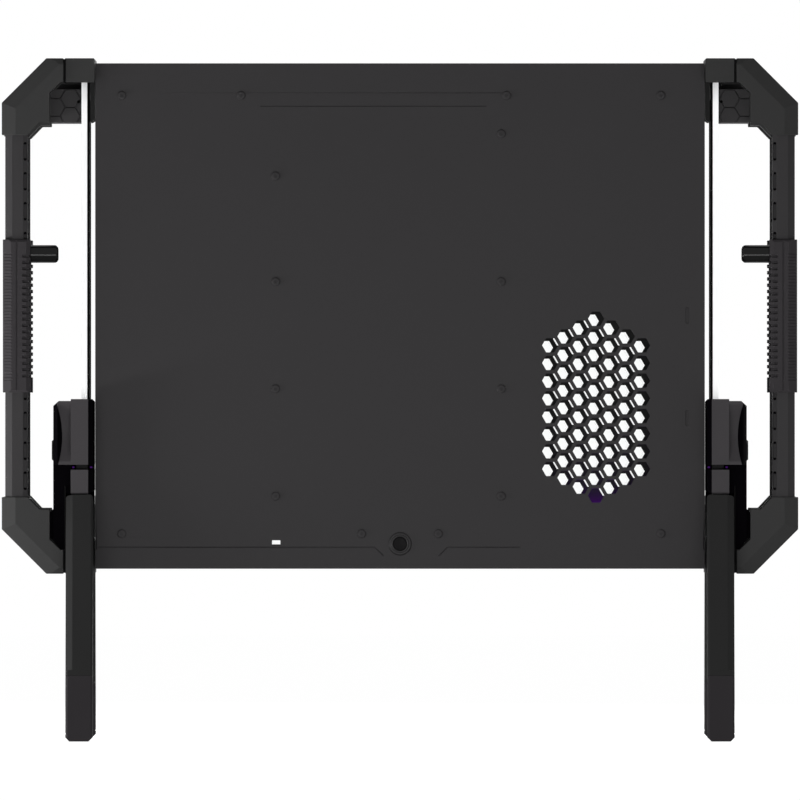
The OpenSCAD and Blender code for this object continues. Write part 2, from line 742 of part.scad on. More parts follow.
module hub() {
    y0 = -hub_y1;
    y1 = -hub_y0;
    gap_z = pivot_z - 14;
    pocket_z = frame_bottom + bar_h;
    waist_x = bracket_x + 10 - seat;
    waist_z = frame_bottom + bracket_h - 11;
    skirt_y = -pivot_y + leg_t / 2 + 0.6;
    reach = hub_bottom - e;
    drop = pivot_z - reach;
    color([0.24, 0.23, 0.24]) difference() {
        union() {
            plate_y(y0, y1) {
                polygon([[hub_x0, hub_bottom + 2], [hub_x0 + 2, hub_bottom],
                         [cheek_x1, hub_bottom], [cheek_x1, hub_top - 5],
                         [cheek_x1 - 4, hub_top - 1.4], [hub_x1, hub_top - 1.4],
                         [hub_x1, hub_top], [hub_x0 + 2, hub_top], [hub_x0, hub_top - 2]]);
                polygon([[post_x0, hub_bottom + e], [post_x0, pocket_z + seat],
                         [bracket_x + 2, pocket_z + seat], [cheek_x1, pocket_z + 7.5],
                         [cheek_x1, hub_bottom + e]]);
            }
            // Rib that fills the post out to the bracket's waist
            plate_y(y0 + 8, y1)
                polygon([[cheek_x1 - e, pocket_z + 8.5], [waist_x, pocket_z + 7.8],
                         [waist_x, waist_z], [cheek_x1 - e, waist_z + 3.4]]);
            // Skirt behind the leg's head, which stops the leg when it is folded
            box([hub_x0, skirt_y, hub_bottom - 14], [post_x0 + e, skirt_y + 3, hub_bottom + 4]);
        }
        // Room for the tongue, from folded to splayed
        plate_x(tongue_x0 - run, tongue_x0 + tongue_w + run) {
            translate([-pivot_y, pivot_z]) circle(r = tongue_r + 0.6);
            polygon([[-pivot_y - tongue_r - 0.6, pivot_z], [-pivot_y + tongue_r + 0.6, pivot_z],
                     [-pivot_y + tongue_r + 0.6, reach],
                     [-pivot_y - drop * tan(splay) - tongue_r / cos(splay) - 0.6, reach]]);
        }
        // Pin bore and the seat of its cap
        translate([hub_x0 - e, -pivot_y, pivot_z]) rotate([0, 90, 0])
            cylinder(d = pin_d + 2 * thread, h = cheek_x1 - hub_x0 + 2 * e);
        translate([cheek_x1 - 2, -pivot_y, pivot_z]) rotate([0, 90, 0])
            cylinder(r = 7.9, h = 2 + e);
        // Light gap across the block
        box([hub_x0 - e, y0 - e, gap_z], [hub_x1, y0 + 13, gap_z + 3.3]);
        // The post under the cheek stands back
        box([hub_x1, y0 - e, frame_bottom - e], [cheek_x1 + e, y0 + 6, gap_z + 3.3]);
        // Hollow curved face of the cheek, and bevels on both side edges
        translate([hub_x1, y0 - 34, gap_z + 27]) rotate([0, 90, 0])
            cylinder(r = 40, h = cheek_x1 - hub_x1 - 3.3, $fn = 96);
        bevel([hub_x0, hub_bottom], [hub_x0, hub_top], 3.5, 5, y0);
        bevel([hub_x1, hub_bottom], [hub_x0, hub_bottom], 1, 1.5, y0);
        bevel([cheek_x1, hub_top], [cheek_x1, gap_z], 3, 6, y0);
    }
}

module pivot_pins() {
    color([0.15, 0.15, 0.16]) for (side = [-1, 1], end = [-1, 1]) corner(side, end)
        translate([hub_x0 + 0.6, -pivot_y, pivot_z]) rotate([0, 90, 0]) {
            cylinder(d = pin_d, h = cheek_x1 - hub_x0 - 2.4);
            translate([0, 0, cheek_x1 - hub_x0 - 2.6]) cylinder(r = 7.7, h = 2.2);
            translate([0, 0, cheek_x1 - hub_x0 - 0.4]) cylinder(r1 = 7.7, r2 = 6.7, h = 1);
        }
}

// Legs: drawn upright under the pivot and then turned to their splay

module splayed() {
    translate([0, -pivot_y, pivot_z]) rotate([-splay, 0, 0]) children();
}

// Section of a leg with its outer edge cut back by a and b
module leg_section(a, b) {
    y0 = -leg_t / 2;
    y1 = leg_t / 2;
    polygon([[leg_x0, y0 + 1.5], [leg_x0 + 1.5, y0], [leg_x1 - a, y0], [leg_x1, y0 + b],
             [leg_x1, y1 - 1.5], [leg_x1 - 1.5, y1], [leg_x0 + 1.5, y1], [leg_x0, y1 - 1.5]]);
}

module leg() {
    ankle = 4;
    color([0.13, 0.13, 0.14]) splayed() difference() {
        union() {
            translate([0, 0, -foot_top]) linear_extrude(ankle) leg_section(1.5, 1.5);
            translate([0, 0, -foot_top + ankle])
                linear_extrude(foot_top - ankle - leg_head) leg_section(4.9, 4);
            plate_x(tongue_x0, tongue_x0 + tongue_w) {
                circle(r = tongue_r);
                translate([-tongue_r, -leg_head - 1]) square([2 * tongue_r, leg_head + 1]);
            }
            translate([(leg_x0 + leg_x1 - spigot.x) / 2, -spigot.y / 2, -foot_top - spigot.z])
                cube([spigot.x, spigot.y, spigot.z + 1]);
        }
        translate([leg_x0, 0, 0]) rotate([0, 90, 0])
            cylinder(d = pin_d + 0.1, h = leg_w);
        // Slanted shoulders at the top
        for (x = [leg_x0, leg_x1]) translate([x, 0, -leg_head]) rotate([0, 45, 0])
            cube([1.6, 2 * leg_t, 1.6], center = true);
    }
}

// Foot cap: a sleeve under the leg with a level sole
module foot() {
    band_z = 5.6;
    sole = 3;
    color([0.15, 0.15, 0.16]) difference() {
        splayed() difference() {
            translate([0, 0, -leg_l - leg_t]) linear_extrude(leg_l + leg_t - foot_top)
                leg_section(1.5, 1.5);
            translate([(leg_x0 + leg_x1 - spigot.x) / 2 - seat, -spigot.y / 2 - seat,
                       -foot_top - spigot.z - seat])
                cube([spigot.x + 2 * seat, spigot.y + 2 * seat, spigot.z + seat + e]);
            // Small step under the leg
            for (x = [leg_x0, leg_x1]) translate([x, 0, -foot_top]) rotate([0, 45, 0])
                cube([1.2, 2 * leg_t, 1.2], center = true);
        }
        translate([0, -frame_y, -50]) cube([4 * frame_x, 8 * leg_t, 100], center = true);
        for (x = [leg_x0, leg_x1]) translate([x, -frame_y, 0]) rotate([0, 45, 0])
            cube([sole * 1.4, 8 * leg_t, sole * 1.4], center = true);
        // Thin line round the cap above its sole
        for (x = [leg_x0, leg_x1]) translate([x, -frame_y - 60, band_z])
            cube([0.8, 8 * leg_t, 0.8], center = true);
    }
}

rear_cover();
cover_screws();
cover_spacers();
board_tray();
board_standoffs();
top_wall();
bottom_wall();
slot_covers();
slot_screws();
supply_bracket();
drive_bracket();
vent_light();
front_glass();
glass_posts();
glass_caps();
button_ring();
power_button();
corner(-1, -1) bar(top_bar_y, top_rib);  // top_bar_left
corner(1, -1) bar(top_bar_y, top_rib);  // top_bar_right
corner(-1, -1) flip_down() bar(bottom_bar_y, bottom_rib);  // bottom_bar_left
corner(1, -1) flip_down() bar(bottom_bar_y, bottom_rib);  // bottom_bar_right
corner(-1, -1) side_pane();  // side_pane_left
corner(1, -1) side_pane();  // side_pane_right
corner(-1, -1) pane_border();  // pane_border_left
corner(1, -1) pane_border();  // pane_border_right
corner(-1, -1) honeycomb_tie();  // honeycomb_tie_left
corner(1, -1) honeycomb_tie();  // honeycomb_tie_right
frame_screws();
corner(-1, -1) bracket(upper_lip);  // upper_bracket_rear_left
corner(1, -1) bracket(upper_lip);  // upper_bracket_rear_right
corner(-1, 1) bracket(upper_lip);  // upper_bracket_front_left
corner(1, 1) bracket(upper_lip);  // upper_bracket_front_right
corner(-1, -1) flip_down() bracket(lower_lip);  // lower_bracket_rear_left
corner(1, -1) flip_down() bracket(lower_lip);  // lower_bracket_rear_right
corner(-1, 1) flip_down() bracket(lower_lip);  // lower_bracket_front_left
corner(1, 1) flip_down() bracket(lower_lip);  // lower_bracket_front_right
corner(-1, -1) rail();  // rail_rear_left
corner(1, -1) rail();  // rail_rear_right
corner(-1, 1) rail();  // rail_front_left
corner(1, 1) rail();  // rail_front_right
corner(-1, -1) grip();  // grip_rear_left
corner(1, -1) grip();  // grip_rear_right
corner(-1, 1) grip();  // grip_front_left
corner(1, 1) grip();  // grip_front_right
corner(-1, -1) peg();  // peg_left
corner(1, -1) peg();  // peg_right
corner(-1, -1) hub();  // hub_rear_left
corner(1, -1) hub();  // hub_rear_right
corner(-1, 1) hub();  // hub_front_left
corner(1, 1) hub();  // hub_front_right
pivot_pins();
corner(-1, -1) leg();  // leg_rear_left
corner(1, -1) leg();  // leg_rear_right
corner(-1, 1) leg();  // leg_front_left
corner(1, 1) leg();  // leg_front_right
corner(-1, -1) foot();  // foot_rear_left
corner(1, -1) foot();  // foot_rear_right
corner(-1, 1) foot();  // foot_front_left
corner(1, 1) foot();  // foot_front_right
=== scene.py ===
"""Finishes an open-frame mini-tower computer case and sets it in a plain studio.

The steel, cast, moulded and rubber pieces get softened copies of their edges and a
procedural coating. Screws, a painted glow in the hub gaps and the button's detail are added to
them.
"""

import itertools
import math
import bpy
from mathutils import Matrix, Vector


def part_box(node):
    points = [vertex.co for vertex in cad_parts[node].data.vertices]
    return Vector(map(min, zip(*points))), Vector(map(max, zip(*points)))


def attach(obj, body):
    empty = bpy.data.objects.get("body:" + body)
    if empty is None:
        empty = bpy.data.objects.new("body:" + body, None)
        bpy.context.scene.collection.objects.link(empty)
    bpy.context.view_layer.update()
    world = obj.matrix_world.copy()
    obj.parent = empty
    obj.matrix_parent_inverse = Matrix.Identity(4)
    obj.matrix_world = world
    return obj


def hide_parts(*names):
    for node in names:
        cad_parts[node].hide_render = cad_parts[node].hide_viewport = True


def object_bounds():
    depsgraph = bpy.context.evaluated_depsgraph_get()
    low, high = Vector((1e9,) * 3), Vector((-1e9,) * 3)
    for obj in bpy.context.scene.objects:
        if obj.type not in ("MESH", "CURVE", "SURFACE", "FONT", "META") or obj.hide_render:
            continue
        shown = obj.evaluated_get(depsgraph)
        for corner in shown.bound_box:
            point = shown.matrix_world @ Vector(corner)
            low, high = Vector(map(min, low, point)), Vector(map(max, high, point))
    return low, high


bl_info = {
    "name": "Mini-Tower Case Finishes",
    "version": (1, 0, 0),
    "blender": (4, 5, 0),
    "location": "3D View > Sidebar > Case",
    "description": "Softens, paints and lights the pieces of an open-frame computer case",
    "category": "Object",
}

import bmesh
import bpy
from bpy.props import FloatProperty, FloatVectorProperty, PointerProperty
from mathutils import Matrix, Vector

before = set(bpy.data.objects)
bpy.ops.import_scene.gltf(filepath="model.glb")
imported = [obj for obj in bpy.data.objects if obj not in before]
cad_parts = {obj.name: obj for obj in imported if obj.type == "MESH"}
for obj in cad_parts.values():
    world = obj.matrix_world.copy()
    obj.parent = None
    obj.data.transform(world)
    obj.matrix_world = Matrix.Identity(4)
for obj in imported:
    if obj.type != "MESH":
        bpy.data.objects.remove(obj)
CAD_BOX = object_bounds()
MM = 0.001
CASE = "case"
SIDES = ("left", "right")
CORNERS = [f"{end}_{side}" for end in ("rear", "front") for side in SIDES]
HUB_GAP = 198 * MM
MERGE = 0.002 * MM


def grey(level, warmth=0.0):
    """A grey written as it shows on a screen, from 0 to 255, as a linear colour."""
    shown = [(level + warmth) / 255, level / 255, (level + warmth) / 255]
    return [((c + 0.055) / 1.055) ** 2.4 for c in shown]


class CaseColours(bpy.types.PropertyGroup):
    """Colours of the coatings."""

    steel: FloatVectorProperty(
        name="Steel", description="Powder coat on the cover and walls",
        subtype="COLOR", size=3, default=grey(50, 1))
    tray: FloatVectorProperty(
        name="Tray", description="Powder coat inside the body",
        subtype="COLOR", size=3, default=grey(34))
    casting: FloatVectorProperty(
        name="Castings", description="Coating of the corner brackets",
        subtype="COLOR", size=3, default=grey(50))
    rail: FloatVectorProperty(
        name="Rails", description="Coating of the handle rails",
        subtype="COLOR", size=3, default=grey(50, 1))
    hub: FloatVectorProperty(
        name="Hubs", description="Coating of the hubs",
        subtype="COLOR", size=3, default=grey(56, 2))
    leg: FloatVectorProperty(
        name="Legs", description="Coating of the legs",
        subtype="COLOR", size=3, default=grey(36))
    plastic: FloatVectorProperty(
        name="Plastic", description="Moulded bars and tie beams",
        subtype="COLOR", size=3, default=grey(60, 1))
    grip: FloatVectorProperty(
        name="Grips", description="Rubber of the hand grips",
        subtype="COLOR", size=3, default=grey(48, 2))
    foot: FloatVectorProperty(
        name="Feet", description="Rubber of the foot caps",
        subtype="COLOR", size=3, default=grey(40, 2))
    polish: FloatVectorProperty(
        name="Pegs", description="Polished black of the hook pegs",
        subtype="COLOR", size=3, default=grey(9))
    fastener: FloatVectorProperty(
        name="Screws", description="Black oxide of the screws and pins",
        subtype="COLOR", size=3, default=grey(36))
    brass: FloatVectorProperty(
        name="Brass", description="Turned brass of studs and spacers",
        subtype="COLOR", size=3, default=(0.58, 0.42, 0.17))
    # Also the colour of the painted glow in the hub gaps.
    glow: FloatVectorProperty(
        name="Glow", description="Colour of the light strips",
        subtype="COLOR", size=3, default=(0.24, 0.02, 0.60))


class CaseEdges(bpy.types.PropertyGroup):
    """Widths of the softened edges."""

    cover: FloatProperty(
        name="Cover edge", description="Rounding of the rear cover's edges and holes",
        unit="LENGTH", default=0.3 * MM)
    sheet: FloatProperty(
        name="Sheet edge", description="Rounding of the walls' edges",
        unit="LENGTH", default=0.25 * MM)
    casting: FloatProperty(
        name="Casting edge", description="Rounding of the brackets and legs",
        unit="LENGTH", default=0.5 * MM)
    rail: FloatProperty(
        name="Rail edge", description="Rounding of the rails, pegs and foot caps",
        unit="LENGTH", default=0.3 * MM)
    fine: FloatProperty(
        name="Fine edge", description="Rounding of the bars, tie beams, hubs and grips",
        unit="LENGTH", default=0.15 * MM)


class CaseStudio(bpy.types.PropertyGroup):
    """Camera and lamps."""

    distance: FloatProperty(
        name="Camera distance", description="From the camera to the rear cover",
        unit="LENGTH", default=27.0)
    height: FloatProperty(
        name="Camera height", description="From the floor to the level camera",
        unit="LENGTH", default=248.7 * MM)
    framed: FloatProperty(
        name="Framed width", description="Width of the view at the rear cover",
        unit="LENGTH", default=584 * MM)
    key: FloatProperty(
        name="Key lamp", description="Power of the low lamp on the left",
        subtype="POWER", default=8.0)
    fill: FloatProperty(
        name="Fill lamp", description="Power of the broad front lamp",
        subtype="POWER", default=9.5)
    back: FloatProperty(
        name="Back lamp", description="Power of the high lamp before the front glass",
        subtype="POWER", default=40.0)
    ambient: FloatProperty(
        name="Ambient", description="Strength of the surrounding light",
        default=0.3)
    bounce: FloatProperty(
        name="Floor light", description="Light that the pale floor gives off",
        default=0.22)
    whiteness: FloatProperty(
        name="Floor whiteness", description="Brightness that only the camera sees on the floor",
        default=0.53)


class Socket:
    """A node's output on which sums, products and comparisons can be written."""

    def __init__(self, nodes, out):
        self.nodes = nodes
        self.out = out

    def maths(self, operation, *values):
        return self.nodes.node("ShaderNodeMath", {"operation": operation}, dict(enumerate(values)))

    def __add__(self, other):
        return self.maths("ADD", self, other)

    def __radd__(self, other):
        return self.maths("ADD", other, self)

    def __sub__(self, other):
        return self.maths("SUBTRACT", self, other)

    def __rsub__(self, other):
        return self.maths("SUBTRACT", other, self)

    def __mul__(self, other):
        return self.maths("MULTIPLY", self, other)

    def __rmul__(self, other):
        return self.maths("MULTIPLY", other, self)

    def __gt__(self, other):
        return self.maths("GREATER_THAN", self, other)

    def __lt__(self, other):
        return self.maths("LESS_THAN", self, other)

    def size(self):
        return self.maths("ABSOLUTE", self)

    def fraction(self):
        return self.maths("FRACT", self)

    def larger(self, other):
        return self.maths("MAXIMUM", self, other)

    def beside(self, name):
        """Another output of the same node."""
        return Socket(self.nodes, self.out.node.outputs[name])


class Nodes:
    """Fills an empty node tree. Every node comes from node()."""

    def __init__(self, tree):
        self.tree = tree
        self.tree.nodes.clear()

    def node(self, kind, settings=None, values=None, out=0):
        """Adds a node with its settings first, then its sockets' values or links."""
        made = self.tree.nodes.new(kind)
        for key, value in (settings or {}).items():
            setattr(made, key, value)
        for key, value in (values or {}).items():
            if isinstance(value, Socket):
                self.tree.links.new(value.out, made.inputs[key])
            else:
                made.inputs[key].default_value = value
        return Socket(self, made.outputs[out]) if made.outputs else None


class Finish(Nodes):
    """Builds one material."""

    def __init__(self, name):
        self.material = bpy.data.materials.new(name)
        self.material.use_nodes = True
        super().__init__(self.material.node_tree)

    def place(self):
        return self.node("ShaderNodeTexCoord", out="Object")

    def along(self, axis):
        return self.node("ShaderNodeSeparateXYZ", None, {0: self.place()}, out=axis)

    def noise(self, scale, detail=2.0, stretch=(1, 1, 1)):
        turned = self.node("ShaderNodeMapping", None, {"Vector": self.place(), "Scale": stretch})
        return self.node("ShaderNodeTexNoise", None,
                         {"Vector": turned, "Scale": scale, "Detail": detail})

    def between(self, mask, low, high):
        """A colour between two others, by a mask from 0 to 1."""
        ends = [end if isinstance(end, Socket) else (*end, 1) for end in (low, high)]
        return self.node("ShaderNodeMix", {"data_type": "RGBA"},
                         {0: mask, 6: ends[0], 7: ends[1]}, out=2)

    def bump(self, height, depth, strength=1.0):
        return self.node("ShaderNodeBump", None,
                         {"Height": height, "Distance": depth, "Strength": strength})

    def principled(self, **values):
        named = {key.replace("_", " "): value for key, value in values.items()}
        if "Specular" in named:
            named["Specular IOR Level"] = named.pop("Specular")
        return self.node("ShaderNodeBsdfPrincipled", None, named)

    def close(self, shader):
        self.node("ShaderNodeOutputMaterial", None, {"Surface": shader})
        return self.material


def tinted(colour, factor):
    return [c * factor for c in colour]


def coating(name, colour, roughness, grain, depth, specular=0.04, patch=0.1, shade=None):
    """A sprayed or moulded blackish finish: fine grain, and slow changes of tone and gloss.

    Where the shade mask is 1 the coat is nearly black: painted shade for creases, gaps and
    recesses.
    """
    f = Finish(name)
    clouds = f.noise(7.0, 3.0)
    fine = f.noise(grain, 2.0)
    tone = f.between(clouds, tinted(colour, 1 - patch), tinted(colour, 1 + patch))
    gloss = (clouds - 0.5) * 0.16 + (fine - 0.5) * 0.1 + roughness
    normal = f.bump(fine, depth)
    coat = f.principled(Base_Color=tone, Roughness=gloss, Normal=normal, Specular=specular)
    # Painted shade: a near-black coat is mixed in wherever the mask is 1.
    if shade:
        black = f.between(clouds, (0.0008, 0.0008, 0.001), (0.002, 0.0015, 0.0025))
        deep = f.principled(Base_Color=black, Roughness=0.9, Specular=0.01)
        coat = f.node("ShaderNodeMixShader", None, {0: shade(f), 1: coat, 2: deep})
    return f.close(coat)


def rubber(name, colour):
    """Matt rubber with a fine leathery grain and dusty high spots."""
    f = Finish(name)
    clouds = f.noise(11.0, 3.0)
    cells = f.node("ShaderNodeTexVoronoi", None, {"Vector": f.place(), "Scale": 1300.0})
    tone = f.between(clouds, tinted(colour, 0.88), tinted(colour, 1.12))
    gloss = 0.66 + (clouds - 0.5) * 0.14
    normal = f.bump(cells, 0.04 * MM, 0.8)
    return f.close(f.principled(Base_Color=tone, Roughness=gloss, Normal=normal, Specular=0.05))


def polished(name, colour):
    """Polished black with faint ripples under a clear coat."""
    f = Finish(name)
    ripple = f.noise(60.0, 2.0)
    tone = f.between(ripple, tinted(colour, 0.9), tinted(colour, 1.1))
    normal = f.bump(ripple, 0.05 * MM, 0.5)
    return f.close(f.principled(
        Base_Color=tone, Roughness=0.16 + ripple * 0.05, Normal=normal, Specular=0.15,
        Coat_Weight=0.05, Coat_Roughness=0.06))


def turned_metal(name, colour):
    """Turned brass: fine rings of tool marks and slightly uneven tone."""
    f = Finish(name)
    rings = f.noise(500.0, 2.0, (0.2, 6, 0.2))
    clouds = f.noise(30.0)
    tone = f.between(clouds, tinted(colour, 0.8), tinted(colour, 1.1))
    normal = f.bump(rings, 0.02 * MM)
    return f.close(f.principled(
        Base_Color=tone, Roughness=0.28 + rings * 0.14, Metallic=1.0, Normal=normal))


def glass(name, half_depth):
    """Clear glass whose ground edges, front and rear, show pale, partly from their rough finish
    and partly from a painted glow.
    """
    f = Finish(name)
    edge = f.along("Y").size() > half_depth - 0.15 * MM
    clear = f.principled(Base_Color=(0.97, 0.985, 0.98, 1), Roughness=0.0, IOR=1.5,
                         Transmission_Weight=1.0)
    cloudy = f.noise(90.0)
    # The emission on the ground edges is a painted glow.
    ground = f.principled(
        Base_Color=f.between(cloudy, (0.86, 0.87, 0.87), (0.93, 0.935, 0.94)),
        Roughness=0.3, Specular=0.4, Transmission_Weight=0.85,
        Emission_Color=(1, 1, 1, 1), Emission_Strength=0.2)
    return f.close(f.node("ShaderNodeMixShader", None, {0: edge, 1: clear, 2: ground}))


def glowing_strip(name, colour, strength):
    """Frosted strip that glows, a little brighter at spots along the row: the vent's lamps, and
    painted light in the hub gaps.
    """
    f = Finish(name)
    dots = f.noise(160.0, 1.0)
    tone = f.between(dots, tinted(colour, 0.7), tinted(colour, 1.3))
    return f.close(f.principled(
        Base_Color=f.between(dots, tinted(colour, 0.06), tinted(colour, 0.12)), Roughness=0.5,
        Specular=0.1, Emission_Color=tone, Emission_Strength=strength))


def closed(made, name):
    """Turns a bmesh into a mesh."""
    mesh = bpy.data.meshes.new(name)
    made.to_mesh(mesh)
    made.free()
    return mesh


def merged(node):
    """A CAD node's mesh with its loose triangles joined, as a bmesh."""
    made = bmesh.new()
    made.from_mesh(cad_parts[node].data)
    bmesh.ops.remove_doubles(made, verts=made.verts, dist=MERGE)
    return made


def add_object(name, data):
    piece = bpy.data.objects.new(name, data)
    bpy.context.collection.objects.link(piece)
    return piece


def settle(piece):
    """Turns a piece and its modifiers into one plain mesh."""
    graph = bpy.context.evaluated_depsgraph_get()
    graph.update()
    mesh = bpy.data.meshes.new_from_object(piece.evaluated_get(graph))
    piece.modifiers.clear()
    piece.data = mesh
    return piece


def add_piece(name, mesh, material, body):
    """Stands a new mesh on a body."""
    piece = add_object(name, mesh)
    mesh.materials.append(material)
    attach(piece, body)
    return piece


def soften(node, width, material, body=CASE, sharp=12.0):
    """Stands a copy with rounded edges in a CAD node's place."""
    made = merged(node)
    bmesh.ops.dissolve_limit(made, angle_limit=math.radians(0.5),
                             verts=made.verts, edges=made.edges)
    mesh = closed(made, node + "_soft")
    mesh.materials.append(material)
    piece = add_object(node + "_soft", mesh)
    rounded = piece.modifiers.new("Edge", "BEVEL")
    rounded.width = width
    rounded.segments = 2
    rounded.limit_method = "ANGLE"
    rounded.angle_limit = math.radians(sharp)
    rounded.use_clamp_overlap = False
    even = piece.modifiers.new("Even", "WEIGHTED_NORMAL")
    even.mode = "FACE_AREA"
    for face in mesh.polygons:
        face.use_smooth = True
    settle(piece)
    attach(piece, body)
    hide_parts(node)


def paint(node, material):
    """Gives a CAD node that keeps its own shape a material."""
    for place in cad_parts[node].material_slots:
        place.material = material


def islands(node):
    """Boxes of a node's separate solids, as pairs of corners."""
    made = merged(node)
    seen, boxes = set(), []
    for start in made.verts:
        if start in seen:
            continue
        group, queue = [], [start]
        seen.add(start)
        while queue:
            vert = queue.pop()
            group.append(vert.co.copy())
            for edge in vert.link_edges:
                other = edge.other_vert(vert)
                if other not in seen:
                    seen.add(other)
                    queue.append(other)
        boxes.append((Vector(map(min, *group)), Vector(map(max, *group))))
    made.free()
    return boxes


def revolve(profile, steps):
    """A body turned from (radius, y) points about the Y axis, as a bmesh."""
    made = bmesh.new()
    rings = []
    for radius, y in profile:
        turns = [2 * math.pi * k / steps for k in range(steps)] if radius > MERGE else [0]
        rings.append([made.verts.new((radius * math.cos(a), y, radius * math.sin(a)))
                      for a in turns])
    for low, high in zip(rings, rings[1:]):
        for k in range(steps):
            n = (k + 1) % steps
            corners = (low[k % len(low)], low[n % len(low)],
                       high[n % len(high)], high[k % len(high)])
            made.faces.new(list(dict.fromkeys(corners)))
    bmesh.ops.recalc_face_normals(made, faces=made.faces)
    return made


def smooth(made, name, angle):
    """A mesh with smooth shading, where edges above an angle in degrees are kept sharp."""
    made.normal_update()
    for edge in made.edges:
        edge.smooth = edge.calc_face_angle(0.0) < math.radians(angle)
    for face in made.faces:
        face.smooth = True
    return closed(made, name)


def repeat_tree(name):
    """Sets a piece at each place, turned about Y by its own angle."""
    tree = bpy.data.node_groups.new(name, "GeometryNodeTree")
    tree.interface.new_socket("Geometry", in_out="OUTPUT", socket_type="NodeSocketGeometry")
    inputs = (("Places", "Geometry"), ("Piece", "Object"), ("Largest turn", "Float"),
              ("Seed", "Int"), ("Material", "Material"))
    keys = {}
    for label, kind in inputs:
        socket = tree.interface.new_socket(
            label, in_out="INPUT", socket_type="NodeSocket" + kind)
        keys[label] = socket.identifier
    n = Nodes(tree)
    places = n.node("NodeGroupInput", out="Places")
    shape = n.node("GeometryNodeObjectInfo", None, {"Object": places.beside("Piece")},
                   out="Geometry")
    angle = n.node("FunctionNodeRandomValue", {"data_type": "FLOAT"},
                   {3: places.beside("Largest turn"), "Seed": places.beside("Seed")}, out=1)
    turn = n.node("ShaderNodeCombineXYZ", None, {"Y": angle})
    spread = n.node("GeometryNodeInstanceOnPoints", None,
                    {"Points": places, "Instance": shape, "Rotation": turn})
    solid = n.node("GeometryNodeRealizeInstances", None, {0: spread})
    coated = n.node("GeometryNodeSetMaterial", None,
                    {"Geometry": solid, "Material": places.beside("Material")})
    n.node("NodeGroupOutput", None, {0: coated})
    return tree, keys


def repeat(name, places, mesh, material, seed):
    """One plain mesh with a copy of a small mesh at each place."""
    cloud = bpy.data.meshes.new(name)
    cloud.from_pydata(places, [], [])
    piece = add_object(name, cloud)
    source = add_object(name + "_source", mesh)
    tree, keys = repeat_tree(name)
    modifier = piece.modifiers.new("Repeat", "NODES")
    modifier.node_group = tree
    modifier[keys["Piece"]] = source
    modifier[keys["Largest turn"]] = 2 * math.pi
    modifier[keys["Seed"]] = seed
    modifier[keys["Material"]] = material
    settle(piece)
    bpy.data.objects.remove(source)
    return piece


class CASE_OT_body(bpy.types.Operator):
    """Softens and coats the steel body"""

    bl_idname = "case.body"
    bl_label = "Steel Body"

    def execute(self, context):
        colours = context.scene.case_colours
        edges = context.scene.case_edges
        coat = coating("powder_coat", colours.steel, roughness=0.52, grain=1500.0,
                       depth=0.02 * MM, patch=0.05)
        inner = coating("inner_coat", colours.tray, roughness=0.55, grain=1500.0, depth=0.03 * MM)
        soften("rear_cover", edges.cover, coat)
        for node in ("top_wall", "bottom_wall"):
            soften(node, edges.sheet, coat)
        for node in ("board_tray", "supply_bracket", "drive_bracket", "slot_covers"):
            paint(node, inner)
        brass = turned_metal("turned_brass", colours.brass)
        paint("board_standoffs", brass)
        paint("cover_spacers", brass)
        paint("vent_light", glowing_strip("vent_glow", colours.glow, strength=28.0))
        return {"FINISHED"}


